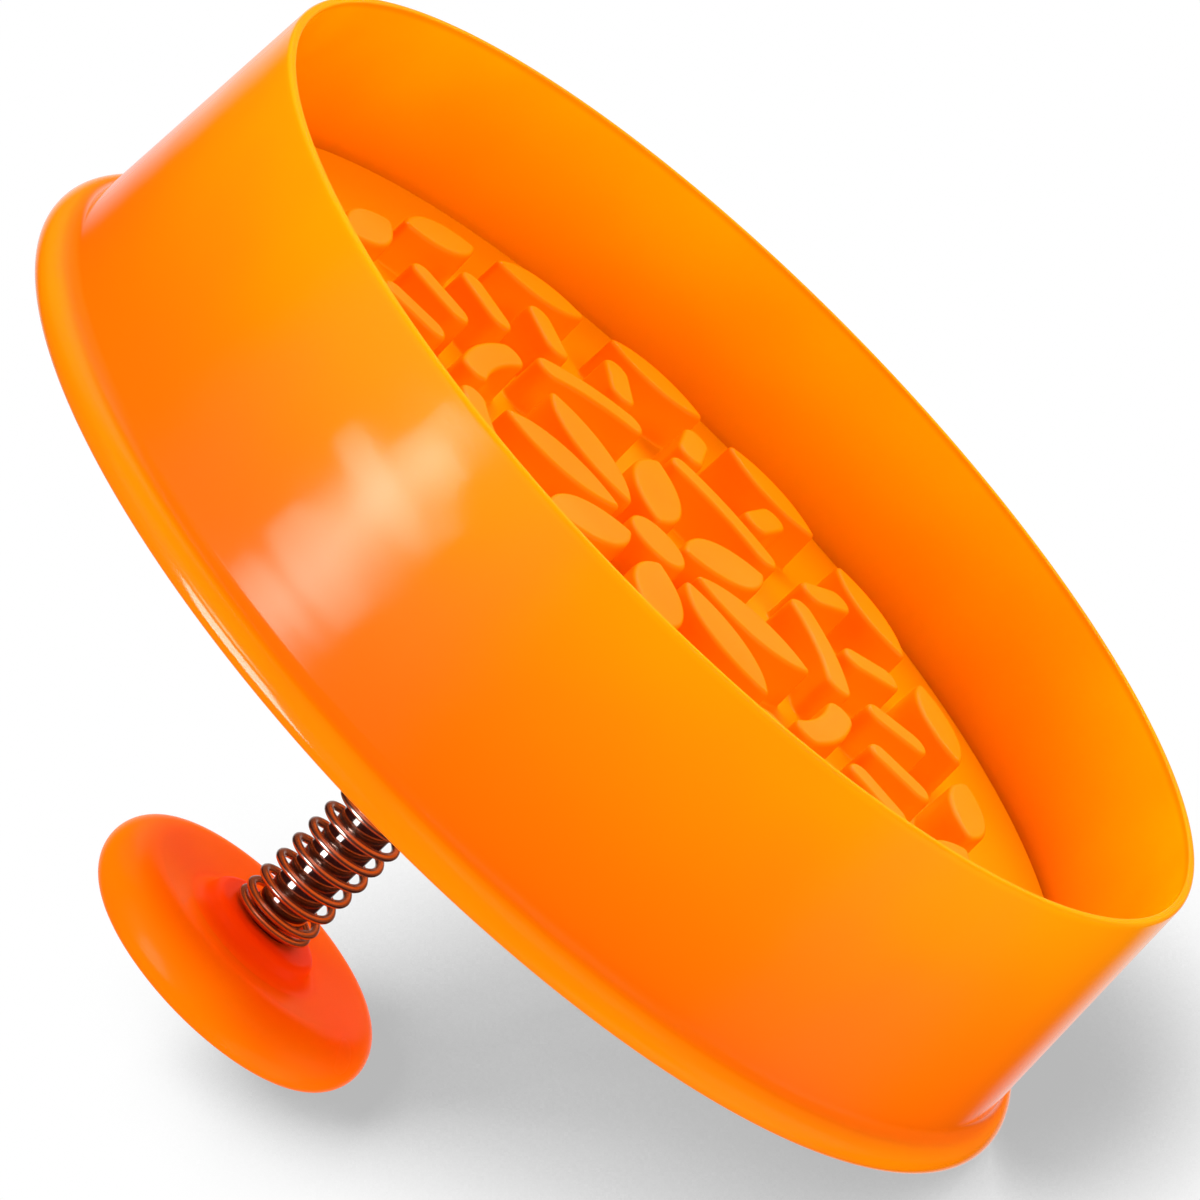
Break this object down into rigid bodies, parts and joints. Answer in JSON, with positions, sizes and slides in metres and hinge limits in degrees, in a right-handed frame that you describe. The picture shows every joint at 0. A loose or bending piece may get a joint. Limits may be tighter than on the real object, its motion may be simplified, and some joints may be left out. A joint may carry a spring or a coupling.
{
  "type": "plunger cutter",
  "caption": "Round cookie and fondant cutter: a thin flanged cutting ring with a sprung stamp plate inside it, pressed down by a mushroom knob on a steel rod.",
  "frame": {"origin": "centre of the cutting edge, in the plane that the cutter stands on", "axes": "+Z along the plunger, from the cutting edge up to the knob; X and Y lie in the plane of the cutting edge"},
  "size_m": [0.0854, 0.0854, 0.0526],
  "materials": {
    "shell_plastic": "glossy moulded orange plastic",
    "plate_plastic": "semi-gloss moulded orange plastic",
    "rod_steel": "bright drawn steel",
    "spring_steel": "bright plated spring wire",
    "knob_plastic": "semi-gloss moulded red-orange plastic"
  },
  "bodies": {
    "shell": {"cutter_shell": "shell_plastic"},
    "spring": {"return_spring": "spring_steel"},
    "plunger": {"stamp_plate": "plate_plastic", "plunger_rod": "rod_steel", "knob": "knob_plastic"}
  },
  "joints": [
    {"name": "plunge", "type": "slide", "parent": "shell", "child": "spring", "axis": [0, 0, -1], "range_m": [0, 0.012], "stiffness_N_per_m": 680, "springref_m": -0.004, "deforming": ["return_spring"]},
    {"name": "plunger_spin", "type": "hinge", "parent": "spring", "child": "plunger", "pos_m": [0, 0, 0.0216], "axis": [0, 0, 1], "continuous": true}
  ]
}
